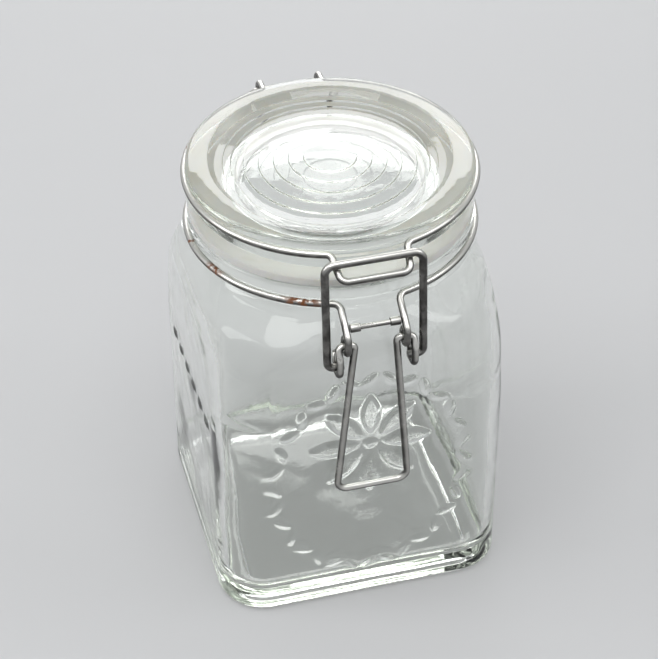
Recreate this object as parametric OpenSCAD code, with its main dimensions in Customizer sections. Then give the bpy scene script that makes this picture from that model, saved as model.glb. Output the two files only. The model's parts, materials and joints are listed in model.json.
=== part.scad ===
// Square glass storage jar with a round glass lid and a wire clamp closure.
// Millimetres, +Z up. The origin is the middle of the base, on the surface it
// stands on; the clamp faces -Y and the lid hinge is at +Y.

/* [Jar] */
// Width and depth of the square body
body_w = 106; // [90:1:130]
// Radius of the four upright corners
corner_r = 17; // [12:1:26]
// How far below the shoulder's top the middle of a side starts to lean in
lean_drop = 22.85; // [16:0.05:30]
// Radius of that lean, seen from the side
lean_r = 43; // [30:1:60]
// How far below the shoulder's top the corners start to lean in
corner_lean_drop = 46.85; // [36:0.05:56]
// Radius of the corners' lean, seen from the side
corner_lean_r = 46.5; // [35:0.5:60]
// Slope of the shoulder above the corners, from level
shoulder_slope = 62; // [50:1:70]
// Radius of the heel, the lower edge
heel_r = 4; // [2:0.5:8]
// Thickness of the walls
wall_t = 3.6; // [2.5:0.1:5]
// Thickness of the base
base_t = 7; // [4:0.5:12]
// Height of the hollow under the base
pushup_h = 1.4; // [0.5:0.1:3]
// Width of the band that the jar stands on
foot_w = 11; // [7:0.5:16]
// How far below the shoulder's top the inside turns in to the mouth
inner_knee_drop = 16.85; // [12:0.05:20]

/* [Neck] */
// Height of the sealing face on the rim
rim_z = 143.3; // [130:0.1:170]
// How far the bead on the rim stands out from under the lid
bead_proud = 0.2; // [0:0.1:1]
// Height of the bead on the rim
bead_h = 4.9; // [4:0.1:8]
// Rounding of the bead's upper edge
bead_round = 1.4; // [0.5:0.1:2]
// Rounding of the bead's lower edge
bead_low_round = 1; // [0.5:0.1:1.5]
// Radius of the small ledge under the neck wire
ledge_r = 1.5; // [0.8:0.1:2]
// How far that ledge stands out of the wire's groove
ledge_out = 0.5; // [0.2:0.1:1]
// How far below the neck wire the shoulder ends
shoulder_drop = 2.2; // [1.8:0.1:3]
// How far the neck below its wire stays inside the bead
neck_in = 1.8; // [1:0.1:3]
// Radius of the mouth
mouth_r = 40; // [34:0.5:42]

/* [Relief] */
// How far the moulded pattern stands out
relief_h = 0.7; // [0.3:0.1:0.9]
// Height of the flower's middle
flower_z = 75; // [55:1:80]
// Height of the garland's middle
garland_z = 60; // [52:1:66]
// Half the width of the garland
garland_x = 35; // [25:1:38]
// Half the height of the garland
garland_h = 44; // [25:1:44]
// Number of leaves in the garland
garland_leaves = 32; // [16:2:40]
// Tilt of those leaves from the garland's line
garland_tilt = 38; // [0:1:60]
// Radius of the flower's heart
heart_r = 3; // [2:0.5:4]
// Length of a petal of the flower
petal_l = 18; // [8:1:22]
// Number of petals
petals = 8; // [5:1:12]
// Height of the row of leaves on the left side
leaf_z = 74; // [50:1:95]
// Length of a leaf
leaf_l = 8; // [6:0.5:10]
// Number of leaves in that row
leaves = 6; // [3:1:8]
// Space between two leaves
leaf_gap = 2.4; // [1:0.1:4]

/* [Lid] */
// Radius of the lid
lid_r = 50.2; // [47:0.1:56]
// Thickness of the lid from its seat to its top
lid_h = 15.4; // [12:0.2:20]
// Inner radius of the flat top rim
lid_rim_r = 42.4; // [40:0.1:46]
// Rounding of the lid's upper edge
lid_round = 1.8; // [0.5:0.1:2.4]
// How far the lid wire lies below the lid's top
lid_wire_drop = 4.6; // [3.6:0.1:8]
// Width of the slope inside the rim
well_slope_w = 2.4; // [1:0.1:4]
// Depth of the foot of that slope below the rim
well_slope_d = 2; // [1:0.1:3]
// Width of each of the two terraces between that slope and the floor of the well
terrace_w = 2.8; // [1.5:0.1:4]
// Depth of the lower terrace below the rim
terrace_d = 2.6; // [1.5:0.1:4]
// Depth of the well's floor below the rim
well_d = 3.2; // [2:0.1:5]
// Number of round steps that rise from the floor to the middle
step_n = 5; // [2:1:6]
// Distance of the first step from the edge of the floor
step_inset = 4.4; // [2:0.1:6]
// Width of one step
step_w = 5.2; // [3:0.1:5.6]
// Height of one step
step_h = 0.6; // [0.3:0.05:0.8]
// Gap between the plug and the mouth that it enters
plug_gap = 2.4; // [1:0.1:4]
// Height of the plug below the seat
plug_h = 5.4; // [3:0.1:8]
// Depth of the hollow in the plug
plug_depth = 12; // [4:0.1:13]
// Wall of the plug around its hollow
plug_wall = 4.4; // [2:0.1:8]
// Rounding of the plug's lower edge
plug_round = 1.2; // [0.4:0.1:2]

/* [Sealing ring] */
// Thickness of the sealing ring
seal_t = 3; // [2:0.1:4]
// How far the sealing ring stays inside the lid's edge
seal_in = 0.1; // [0:0.1:2]
// Gap between the plug and the sealing ring around it
seal_gap = 0.6; // [0.2:0.1:1.5]

/* [Wires] */
// Diameter of the neck wire
neck_wire_d = 2.5; // [1.6:0.1:3.2]
// Diameter of the lid wire
lid_wire_d = 2.5; // [1.6:0.1:3.2]
// Diameter of the lever wire
lever_d = 2.5; // [1.6:0.1:3.2]
// Diameter of the bail wire
bail_d = 2.8; // [1.6:0.1:3.4]
// Radius of a usual bend, at the middle of the wire
bend_r = 3; // [2.4:0.1:4]
// Radius of the sharp bends at the lever's pivot
pivot_bend_r = 1.7; // [1.6:0.05:2]
// Radius of the bend between a crank and its pivot
crank_bend_r = 2.4; // [2:0.1:3]
// Radius of the handle's lower corners
handle_bend_r = 3.6; // [2.5:0.1:6]
// Radius of the bends between the bail's pins and legs
pin_bend_r = 2.2; // [1.8:0.1:3]
// Radius of the bail's upper corners
bail_bend_r = 3.4; // [2.5:0.1:5]

/* [Clamp] */
// Distance of the lever pivot in front of the body's face
pivot_out = 5; // [4.5:0.1:10]
// Least distance of that face, or of what stands for it, outside the neck wire
wire_clear = 2.4; // [2:0.1:6]
// How far the lever pivot lies below the neck wire
pivot_drop = 11.55; // [10:0.05:16]
// Throw of the lever cranks
crank_l = 8.5; // [7:0.1:12]
// Half the spacing of the lever's cranks
crank_x = 13.1; // [11:0.1:20]
// Half the spacing of the neck wire's eyes
eye_x = 10.25; // [8:0.05:16]
// Height of the neck wire's hook above the lever pivot
hook_rise = 4; // [3:0.1:6]
// Width of the neck wire's hook beside its eye
hook_w = 5; // [3.5:0.1:8]
// Length of a crank's free end above its pin
crank_tail = 4.4; // [3:0.1:6]
// Height below the pivot at which a crank turns in to it
crank_turn = 3.6; // [3:0.1:5]
// Half the width of the handle at its top
handle_top_x = 7.2; // [5:0.1:7.4]
// Half the width of the handle at its lower end
handle_low_x = 13; // [8:0.1:18]
// Length of the handle below its pivot
handle_l = 67; // [40:1:80]
// Gap between the handle's lower end and the body's face
handle_gap = 1.75; // [0.5:0.05:10]
// How far a pin of the bail reaches past its crank
pin_proud = 0.6; // [0.3:0.1:1]
// Half the width of the bail
bail_x = 16.8; // [14:0.1:24]
// How far the bail's bar lies behind the lever pivot
bail_back = 3.3; // [2.6:0.1:3.6]
// Height of the bail's bar above the lid wire
bail_rise = 0.1; // [0:0.1:3]
// Half the width of the tongue
tongue_x = 11.8; // [8:0.1:14]
// Width of the tongue's root beside it
tongue_root_w = 4.2; // [3.5:0.1:6]
// How far the tongue's bar lies behind the lever pivot
tongue_back = 0.2; // [0:0.1:0.4]
// Drop of the tongue's bar below the lid wire
tongue_drop = 5.2; // [2:0.1:10]
// Diameter of the tie bar between the neck wire's eyes
tie_d = 1.8; // [1:0.1:2.4]
// Diameter of the sleeves at its ends
tie_sleeve_d = 3; // [2:0.1:3.4]
// Length of a sleeve
tie_sleeve_l = 3.6; // [2:0.1:5]
// How far the tie bar lies below the neck wire
tie_drop = 5.2; // [4.5:0.1:6]
// How far the tie bar lies behind the lever pivot
tie_back = 0.9; // [0:0.1:2]

/* [Hinge] */
// Distance of the hinge bar outside the neck wire
hinge_out = 5.9; // [5:0.1:12]
// Half the spacing of the lid wire's eyes
hinge_eye_x = 11; // [8:0.1:16]
// Half the width of the hinge bar
hinge_bar_x = 15; // [12:0.1:20]

/* [Fits] */
// Radial play of a wire that turns in an eye
pivot_play = 0.1; // [0.05:0.01:0.3]
// Gap between the sealing ring and the rim
seat_gap = 0.3; // [0.1:0.05:0.5]
// Play of a wire in its groove
groove_play = 0.1; // [0.05:0.01:0.3]
// Gap between the tie bar and the neck wire's eyes
tie_gap = 0.25; // [0.1:0.05:0.5]
// How far the mid lines of the two ring wires lie outside the glass
wire_proud = 0.2; // [0:0.05:0.6]

/* [Hidden] */
$fn = 96;
half_w = body_w / 2;
bead_r = lid_r + bead_proud;
neck_r = bead_r - neck_in;
plug_r = mouth_r - plug_gap;
seal_r = lid_r - seal_in;
seal_bore_r = plug_r + seal_gap;
lid_seat_z = rim_z + seat_gap + seal_t;
lid_top_z = lid_seat_z + lid_h;
lid_wire_z = lid_top_z - lid_wire_drop;
slope_foot_r = lid_rim_r - well_slope_w;
well_r = slope_foot_r - 2 * terrace_w;
lid_wire_r = lid_r + wire_proud;
bead_low_z = rim_z - bead_h;
neck_wire_z = bead_low_z - neck_wire_d / 2 - groove_play;
neck_wire_r = bead_r + wire_proud;
groove_r = neck_wire_r - neck_wire_d / 2 - groove_play;
// The neck wire's eyes, the cranks' loops and the lid wire's eyes, to mid wire
eye_r = (lever_d + neck_wire_d) / 2 + pivot_play;
crank_r = (lever_d + bail_d) / 2 + pivot_play;
hinge_eye_r = (lid_wire_d + neck_wire_d) / 2 + pivot_play;
// The tongue's root and the hook bend a little tighter than the other bends
tongue_bend_r = bend_r - 0.3;
hook_bend_r = bend_r - 0.4;
hinge_y = neck_wire_r + hinge_out;
hinge_z = lid_wire_z - hinge_eye_r;
// Distances from the axis and heights of the clamp's pieces
pivot_y = max(half_w, neck_wire_r + wire_clear) + pivot_out;
pivot_z = neck_wire_z - pivot_drop;
crank_z = pivot_z - crank_l;
handle_low_y = half_w + handle_gap + lever_d / 2;
bail_bar_y = pivot_y - bail_back;
bail_bar_z = lid_wire_z + bail_rise;
tongue_y = pivot_y - tongue_back;
shoulder_top_z = neck_wire_z - shoulder_drop;
lean_z = shoulder_top_z - lean_drop;
corner_lean_z = shoulder_top_z - corner_lean_drop;
inner_knee_z = shoulder_top_z - inner_knee_drop;
// The corners' distance from the axis, and the middle of their lean
corner_reach = (half_w - corner_r) * sqrt(2) + corner_r;
dome_x = corner_reach + 0.5 - corner_lean_r;
// The heel inside, limited by the corners inside
pushup_corner_r = 0.7 * corner_r;
inner_heel_r = min(heel_r + wall_t, corner_r - wall_t - 0.5);
// Cutting shapes reach this far past what they cut
over = 1;
// Lengths of wire stop this far from a joint, inside a collar a hair thicker than the wire
joint_gap = 0.05;
collar_l = 0.24;
collar_extra = 0.06;

glass = [0.86, 0.90, 0.86, 0.35];
steel = [0.46, 0.45, 0.43];

function unit(v) = v / norm(v);
function mirrored(p) = [-p[0], p[1], p[2]];
function reversed(list) = [for (i = [len(list) - 1:-1:0]) list[i]];
// A path and its mirror image, joined into one
function both_sides(half) = concat([for (p = half) mirrored(p)], reversed(half));

// A straight wire between two points
module rod(a, b, d) {
    v = b - a;
    translate(a)
        rotate([0, acos(v[2] / norm(v)), atan2(v[1], v[0])])
            cylinder(d = d, h = norm(v));
}

// A short collar around a joint of a wire, along the wire's direction t there
module collar(p, t, d) {
    rod(p - t * collar_l / 2, p + t * collar_l / 2, d + collar_extra);
}

// Part of a torus from the X axis, a hair short of the angle at both ends
module torus_arc(r, angle, d) {
    short = joint_gap / r * 180 / PI;
    rotate([0, 0, short])
        rotate_extrude(angle = angle - 2 * short)
            translate([r, 0]) circle(d = d);
}

// A bend of a wire around the corner b, from a towards c
module bend(a, b, c, r, d) {
    t = unit(b - a);
    s = unit(c - b);
    turn = acos(t * s);
    n = unit(cross(t, s));
    u = cross(t, n);
    start = b - t * r * tan(turn / 2);
    level = norm([u[0], u[1]]);
    translate(start - u * r)
        rotate(level < 0.0001
            ? [0, -90 * sign(u[2]), atan2(-t[0], t[1])]
            : [atan2(t[2], n[2]), atan2(-u[2], level), atan2(u[1], u[0])])
            torus_arc(r, turn, d);
}

function turn_at(path, i) = acos(unit(path[i] - path[i - 1]) * unit(path[i + 1] - path[i]));
function setback(path, radii, i) =
    i == 0 || i == len(path) - 1 ? 0 : radii[i] * tan(turn_at(path, i) / 2);

// A wire through the points of a path, with a bend radius at each point
module wire(path, radii, d) {
    last = len(path) - 2;
    for (i = [0:last]) {
        t = unit(path[i + 1] - path[i]);
        a = path[i] + t * setback(path, radii, i);
        b = path[i + 1] - t * setback(path, radii, i + 1);
        if (norm(b - a) > collar_l) {
            rod(i == 0 ? a : a + t * joint_gap, i == last ? b : b - t * joint_gap, d);
            if (i > 0) collar(a, t, d);
            if (i < last) collar(b, t, d);
        } else
            rod(a - t * collar_l / 2, b + t * collar_l / 2, d + collar_extra);
    }
    for (i = [1:last])
        bend(path[i - 1], path[i], path[i + 1], radii[i], d);
}

// Part of a level wire ring, between two angles from +X, with a collar at each end
module ring_arc(r, z, from, to, d) {
    translate([0, 0, z])
        rotate([0, 0, from])
            torus_arc(r, to - from, d);
    for (a = [from, to])
        collar([r * cos(a), r * sin(a), z], [-sin(a), cos(a), 0], d);
}

// Angle from the Y axis at which a ring of radius r is x from it
function off_y(r, x) = asin(x / r);
// The corner where a wire leaves its ring at x0 and turns away at x1
function leave(r, x0, x1) =
    let (a = off_y(r, x0)) [x1, r * cos(a) + (x0 - x1) * tan(a)];

// Cross-section of a block with a rounded upper and lower edge
module block_profile(w, z0, z1, r0, r1) {
    difference() {
        translate([0, z0]) square([w, z1 - z0]);
        translate([w - r0, z0]) difference() {
            square(r0);
            translate([0, r0]) circle(r0);
        }
        translate([w - r1, z1 - r1]) difference() {
            square(r1);
            circle(r1);
        }
    }
}

// A square block with rounded uprights and rounded upper and lower edges
module soft_block(half, corner, z0, z1, r0, r1) {
    c = half - corner;
    for (a = [0, 90])
        rotate([0, 0, a])
            rotate([90, 0, 0])
                translate([0, 0, -c])
                    linear_extrude(2 * c)
                        for (m = [0, 1])
                            mirror([m, 0]) block_profile(half, z0, z1, r0, r1);
    for (x = [-c, c], y = [-c, c])
        translate([x, y, 0])
            rotate_extrude()
                block_profile(corner, z0, z1, r0, r1);
}

// The sides' lean near the top, seen from one side, drawn inset by t
module lean_profile(t) {
    mid = half_w - lean_r;
    translate([t - half_w, -over]) square([2 * (half_w - t), lean_z + over]);
    for (s = [-1, 1])
        translate([s * mid, lean_z]) circle(lean_r - t);
    translate([-mid, lean_z]) square([2 * mid, lean_r - t]);
}

// The turned outline that cuts the shoulder's corners, inset by t and ended at radius r
module dome_profile(t, knee_z, r, top_z) {
    arc = corner_lean_r - t;
    tip = [dome_x + arc * sin(shoulder_slope), corner_lean_z + arc * cos(shoulder_slope)];
    knee = [tip[0] - (knee_z - tip[1]) / tan(shoulder_slope), knee_z];
    translate([0, -over]) square([dome_x + arc, corner_lean_z + over]);
    intersection() {
        translate([dome_x, corner_lean_z]) circle(arc);
        square(2 * body_w);
    }
    polygon([[0, corner_lean_z], [dome_x, corner_lean_z], tip, knee, [r, top_z], [0, top_z]]);
}

// The body with its shoulder, inset by t
module body_block(t, z0, heel, knee_z, r, top_z) {
    intersection() {
        soft_block(half_w - t, corner_r - t, z0, top_z + over, heel, over);
        for_both_ways() linear_extrude(2 * body_w, center = true) lean_profile(t);
        rotate_extrude() dome_profile(t, knee_z, r, top_z);
    }
}

// What a shape drawn upright in the XZ plane shares with its copy turned to the YZ plane
module for_both_ways() {
    intersection() {
        rotate([90, 0, 0]) children();
        rotate([90, 0, 90]) children();
    }
}

// The neck and its rim, as one turned outline
module neck_profile() {
    core = mouth_r - wall_t;
    top_r = bead_r - bead_round;
    low_r = bead_r - bead_low_round;
    difference() {
        union() {
            translate([core, lean_z]) square([neck_r - core, rim_z - bead_round - lean_z]);
            translate([core, bead_low_z]) square([low_r - core, bead_h - bead_round]);
            translate([core, bead_low_z + bead_low_round])
                square([top_r - core, bead_h - bead_low_round]);
            translate([core, bead_low_z + bead_low_round])
                square([bead_r - core, bead_h - bead_low_round - bead_round]);
            translate([low_r, bead_low_z + bead_low_round]) circle(bead_low_round);
            translate([top_r, rim_z - bead_round]) circle(bead_round);
            translate([core, neck_wire_z - shoulder_drop])
                square([groove_r - core, 2 * shoulder_drop]);
            translate([groove_r - ledge_r + ledge_out, neck_wire_z - shoulder_drop])
                circle(ledge_r);
        }
        translate([neck_wire_r, neck_wire_z]) circle(d = neck_wire_d + 2 * groove_play);
    }
}

// A flower, raised on a face; drawn flat, facing +Z
module flower_relief() {
    petal_gap = 2 * relief_h;
    for (i = [0:petals - 1])
        rotate([0, 0, i * 360 / petals])
            translate([heart_r + petal_gap + petal_l / 2, 0, 0]) raised_leaf(petal_l);
    translate([0, 0, relief_h - heart_r]) sphere(heart_r);
}

// An oval garland of leaves, raised on a face; drawn flat, facing +Z
module garland_relief() {
    for (i = [0:garland_leaves - 1]) {
        t = i * 360 / garland_leaves;
        along = atan2(garland_h * cos(t), -garland_x * sin(t));
        translate([garland_x * cos(t), garland_h * sin(t), 0])
            rotate([0, 0, along + garland_tilt * (i % 2 == 0 ? 1 : -1)])
                raised_leaf(leaf_l);
    }
}

// A row of leaves raised on a face; drawn flat, facing +Z
module leaf_relief() {
    pitch = leaf_l + leaf_gap;
    for (i = [0:leaves - 1])
        translate([(i - (leaves - 1) / 2) * pitch, 0, 0]) raised_leaf(leaf_l);
}

// A pointed leaf between two arcs, along X
module leaf(length) {
    arc = length * 0.75;
    side = sqrt(arc * arc - length * length / 4);
    intersection() {
        translate([0, side]) circle(arc);
        translate([0, -side]) circle(arc);
    }
}

// A leaf that stands out of the face under it
module raised_leaf(length) {
    translate([0, 0, -over]) linear_extrude(relief_h + over) leaf(length);
}

module glass_jar() {
    color(glass)
        difference() {
            union() {
                body_block(0, 0, heel_r, shoulder_top_z - over, neck_r, shoulder_top_z);
                rotate_extrude() neck_profile();
                translate([0, -half_w, flower_z]) rotate([90, 0, 0]) flower_relief();
                translate([0, -half_w, garland_z]) rotate([90, 0, 0]) garland_relief();
                translate([-half_w, 0, leaf_z]) rotate([90, 0, -90]) leaf_relief();
            }
            body_block(wall_t, base_t, inner_heel_r, inner_knee_z, mouth_r, shoulder_top_z - wall_t);
            translate([0, 0, lean_z]) cylinder(r = mouth_r, h = rim_z);
            translate([0, 0, -over])
                soft_block(half_w - foot_w, pushup_corner_r, 0, pushup_h + over, over / 2, over);
        }
}

// Turned outline of the lid: rim, shallow well with round steps, and hollow plug below
module lid_profile() {
    floor_z = lid_top_z - well_d;
    plug_z = lid_seat_z - plug_h;
    difference() {
        union() {
            translate([0, lid_seat_z]) square([lid_r, lid_h - lid_round]);
            translate([0, lid_seat_z]) square([lid_r - lid_round, lid_h]);
            translate([lid_r - lid_round, lid_top_z - lid_round]) circle(lid_round);
            translate([0, plug_z]) square([plug_r - plug_round, plug_h]);
            translate([0, plug_z + plug_round]) square([plug_r, plug_h]);
            translate([plug_r - plug_round, plug_z + plug_round]) circle(plug_round);
        }
        // The well: slope, two terraces and floor, and the steps up to the middle
        polygon(concat(
            [[0, lid_top_z + over], [lid_rim_r, lid_top_z + over], [lid_rim_r, lid_top_z],
                [slope_foot_r, lid_top_z - well_slope_d],
                [well_r + terrace_w, lid_top_z - well_slope_d],
                [well_r + terrace_w, lid_top_z - terrace_d],
                [well_r, lid_top_z - terrace_d],
                [well_r, floor_z]],
            [for (i = [0:step_n - 1], rise = [0, 1])
                [well_r - step_inset - i * step_w, floor_z + (i + rise) * step_h]],
            [[0, floor_z + step_n * step_h]]));
        translate([0, plug_z - over]) square([plug_r - plug_wall, plug_depth + over]);
        translate([lid_wire_r, lid_wire_z]) circle(d = lid_wire_d + 2 * groove_play);
    }
}

module glass_lid() {
    color(glass) rotate_extrude() lid_profile();
}

module sealing_ring() {
    color([0.86, 0.84, 0.74])
        translate([0, 0, rim_z + seat_gap])
            difference() {
                cylinder(r = seal_r, h = seal_t);
                translate([0, 0, -over]) cylinder(r = seal_bore_r, h = seal_t + 2 * over);
            }
}

// The wire around the lid: tongue in front, an eye on each side of the hinge
module lid_wire() {
    front_x = tongue_x + tongue_root_w;
    rear_x = hinge_eye_x + bend_r;
    front = leave(lid_wire_r, front_x, front_x - bend_r);
    rear = leave(lid_wire_r, rear_x, hinge_eye_x);
    a0 = 90 - off_y(lid_wire_r, rear_x);
    a1 = -90 + off_y(lid_wire_r, front_x);
    z = lid_wire_z;
    tongue = [
        [front_x, -lid_wire_r * cos(off_y(lid_wire_r, front_x)), z],
        [front[0], -front[1], z],
        [tongue_x, -tongue_y, z - tongue_drop]];
    eye = [
        [rear_x, lid_wire_r * cos(off_y(lid_wire_r, rear_x)), z],
        [rear[0], rear[1], z],
        [hinge_eye_x, hinge_y + hinge_eye_r, z],
        [hinge_eye_x, hinge_y + hinge_eye_r, z - 2 * hinge_eye_r],
        [hinge_eye_x, hinge_y - hinge_eye_r, z - 2 * hinge_eye_r],
        [hinge_eye_x, hinge_y - hinge_eye_r, z - 0.8 * hinge_eye_r]];
    eye_bends = [0, bend_r, hinge_eye_r, hinge_eye_r, hinge_eye_r, 0];
    color(steel) {
        wire(both_sides(tongue), [0, tongue_bend_r, bend_r, bend_r, tongue_bend_r, 0], lid_wire_d);
        for (m = [0, 1])
            mirror([m, 0, 0]) {
                ring_arc(lid_wire_r, z, a1, a0, lid_wire_d);
                wire(eye, eye_bends, lid_wire_d);
            }
    }
}

// The wire around the neck: hinge bar behind, an eye on each side in front
module neck_wire() {
    front_x = eye_x + hook_w;
    rear_x = hinge_bar_x + bend_r;
    front = leave(neck_wire_r, front_x, eye_x);
    rear = leave(neck_wire_r, rear_x, hinge_bar_x);
    a0 = 90 - off_y(neck_wire_r, rear_x);
    a1 = -90 + off_y(neck_wire_r, front_x);
    z = neck_wire_z;
    shaft_y = pivot_y + eye_r;
    hook = [
        [front_x, -neck_wire_r * cos(off_y(neck_wire_r, front_x)), z],
        [eye_x, -front[1], z],
        [eye_x, -shaft_y, pivot_z + hook_rise],
        [eye_x, -shaft_y, pivot_z - eye_r],
        [eye_x, -pivot_y + eye_r, pivot_z - eye_r],
        [eye_x, -pivot_y + eye_r, pivot_z + eye_r],
        [eye_x, -pivot_y - eye_r / 4, pivot_z + eye_r]];
    staple = [
        [rear_x, neck_wire_r * cos(off_y(neck_wire_r, rear_x)), z],
        [hinge_bar_x, rear[1], z],
        [hinge_bar_x, hinge_y, z],
        [hinge_bar_x, hinge_y, hinge_z]];
    color(steel) {
        wire(both_sides(staple), [0, bend_r, bend_r, bend_r, bend_r, bend_r, bend_r, 0], neck_wire_d);
        for (m = [0, 1])
            mirror([m, 0, 0]) {
                ring_arc(neck_wire_r, z, a1, a0, neck_wire_d);
                wire(hook, [0, bend_r, hook_bend_r, eye_r, eye_r, eye_r, 0], neck_wire_d);
            }
    }
}

// The thin bar between the two eyes, with a sleeve at each end
module neck_wire_tie() {
    reach = eye_x - neck_wire_d / 2 - tie_gap;
    color(steel)
        translate([0, tie_back - pivot_y, neck_wire_z - tie_drop])
            rotate([0, 90, 0])
                union() {
                    cylinder(d = tie_d, h = 2 * reach, center = true);
                    for (s = [-1, 1])
                        translate([0, 0, s * (reach - tie_sleeve_l / 2)])
                            cylinder(d = tie_sleeve_d, h = tie_sleeve_l, center = true);
                }
}

// The lever: a handle, and on each side the pivot and a looped crank
module lever() {
    half = [
        [crank_x, crank_r - pivot_y, crank_z + crank_tail],
        [crank_x, crank_r - pivot_y, crank_z - crank_r],
        [crank_x, -crank_r - pivot_y, crank_z - crank_r],
        [crank_x, -crank_r - pivot_y, pivot_z - crank_turn],
        [crank_x, -pivot_y, pivot_z],
        [handle_top_x, -pivot_y, pivot_z],
        [handle_low_x, -handle_low_y, pivot_z - handle_l]];
    bends = [0, crank_r, crank_r, crank_bend_r, pivot_bend_r, pivot_bend_r, handle_bend_r];
    color(steel) wire(both_sides(half), concat(bends, reversed(bends)), lever_d);
}

// The bail: a bar over the tongue, two legs and a pin into each crank
module bail() {
    half = [
        [crank_x - lever_d / 2 - pin_proud, -pivot_y, crank_z],
        [bail_x, -pivot_y, crank_z],
        [bail_x, -bail_bar_y, bail_bar_z]];
    bends = [0, pin_bend_r, bail_bend_r];
    color(steel) wire(both_sides(half), concat(bends, reversed(bends)), bail_d);
}

glass_jar();
glass_lid();
sealing_ring();
lid_wire();
neck_wire();
neck_wire_tie();
lever();
bail();
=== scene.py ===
"""A square glass jar with a hinged glass lid, rubber ring and wire clamp, dressed over its fixed frame."""

import json
import math

import bmesh
import bpy
from bpy.props import FloatProperty, FloatVectorProperty, IntProperty, PointerProperty
from mathutils import Matrix, Vector, noise


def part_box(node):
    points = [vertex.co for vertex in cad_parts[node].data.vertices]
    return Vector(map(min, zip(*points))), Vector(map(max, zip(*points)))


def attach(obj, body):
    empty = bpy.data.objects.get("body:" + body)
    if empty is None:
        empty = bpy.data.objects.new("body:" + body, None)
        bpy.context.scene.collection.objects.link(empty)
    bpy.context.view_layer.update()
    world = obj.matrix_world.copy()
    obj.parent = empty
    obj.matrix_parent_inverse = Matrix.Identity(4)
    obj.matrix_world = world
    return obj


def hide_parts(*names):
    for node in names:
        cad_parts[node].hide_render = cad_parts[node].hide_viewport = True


bl_info = {
    "name": "Clamp Lid Storage Jar",
    "version": (1, 0, 0),
    "blender": (4, 5, 0),
    "location": "View3D > Sidebar > Storage Jar",
    "description": "Builds a square glass jar with a hinged lid and a wire clamp over its fixed frame",
    "category": "Object",
}

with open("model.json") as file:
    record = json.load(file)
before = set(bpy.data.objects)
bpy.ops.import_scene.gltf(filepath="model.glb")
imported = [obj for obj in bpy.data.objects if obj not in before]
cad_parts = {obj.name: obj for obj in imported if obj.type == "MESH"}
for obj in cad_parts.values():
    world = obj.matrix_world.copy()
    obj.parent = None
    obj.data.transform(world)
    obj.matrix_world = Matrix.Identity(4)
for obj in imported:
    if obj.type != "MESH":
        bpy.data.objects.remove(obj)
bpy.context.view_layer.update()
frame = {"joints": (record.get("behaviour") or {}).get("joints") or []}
MM = 0.001
AXES = {joint["name"]: Vector(joint["pos_m"]) for joint in frame["joints"]}
LEVER_PIVOT, BAIL_PIN, LID_HINGE = AXES["lever_swing"], AXES["bail_swing"], AXES["lid_hinge"]
JAR_LOW, JAR_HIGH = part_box("glass_jar")
LID_LOW, LID_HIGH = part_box("glass_lid")
RING_LOW, RING_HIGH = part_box("sealing_ring")


def length(name, description, default, high=0.3):
    """A size in metres that a user can change."""
    return FloatProperty(name=name, description=description, default=default, min=0.0, max=high,
                         precision=5, unit="LENGTH", subtype="DISTANCE")


def mm(name, description, millimetres, high=0.3):
    """A size in metres that a user can change, with a default in millimetres."""
    return length(name, description, millimetres * MM, high)


def number(name, description, default, low, high):
    """A plain number that a user can change."""
    return FloatProperty(name=name, description=description, default=default, min=low, max=high)


def whole(name, description, default, low, high):
    """A whole number that a user can change."""
    return IntProperty(name=name, description=description, default=default, min=low, max=high)


def angle(name, description, degrees):
    """An angle that a user can change."""
    return FloatProperty(name=name, description=description, default=math.radians(degrees),
                         subtype="ANGLE")


def colour(name, description, default):
    """A colour that a user can change."""
    return FloatVectorProperty(name=name, description=description, default=default, size=3,
                               min=0, max=1, subtype="COLOR")


class JarSizes(bpy.types.PropertyGroup):
    """Sizes of the square glass jar."""

    half_width: length("Half width", "Half the width of the square body", JAR_HIGH.x)
    corner_radius: mm("Corner radius", "Radius of the four upright corners", 17)
    lean_start: mm("Lean height", "Height at which the sides start to lean in", 112)
    lean_radius: mm("Lean radius", "Radius of the sides' lean", 43)
    corner_lean_start: mm("Corner lean height", "Height at which the corners lean in", 88)
    corner_lean_radius: mm("Corner lean radius", "Radius of the corners' lean", 46.5)
    shoulder_slope: angle("Shoulder slope", "Slope of the shoulder over the corners", 62)
    shoulder_blend: mm("Shoulder blend", "How widely the shoulder's faces run together", 6)
    heel_radius: mm("Heel radius", "Radius of the lower edge", 4)
    wall: mm("Wall", "Thickness of the walls", 3.6)
    base: mm("Base", "Thickness of the base", 7)
    pushup: mm("Push-up", "Height of the hollow under the base", 1.4)
    foot: mm("Foot", "Width of the band that the jar stands on", 11)
    inner_knee: mm("Inner knee", "Height at which the inside turns to the mouth", 118)
    neck_radius: mm("Neck radius", "Radius of the neck below its wire", 48.6)
    neck_end: mm("Neck foot", "Height at which the neck leaves the shoulder", 134.85)
    groove_radius: mm("Groove radius", "Radius of the groove for the neck wire", 49.25)
    bead_radius: mm("Bead radius", "Radius of the bead on the rim", 50.4)
    bead_height: mm("Bead height", "Height of the bead on the rim", 4.9)
    mouth_radius: mm("Mouth radius", "Radius of the mouth", 40)
    waviness: mm("Waviness", "How unevenly the glass has cooled inside", 0.35)


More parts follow.
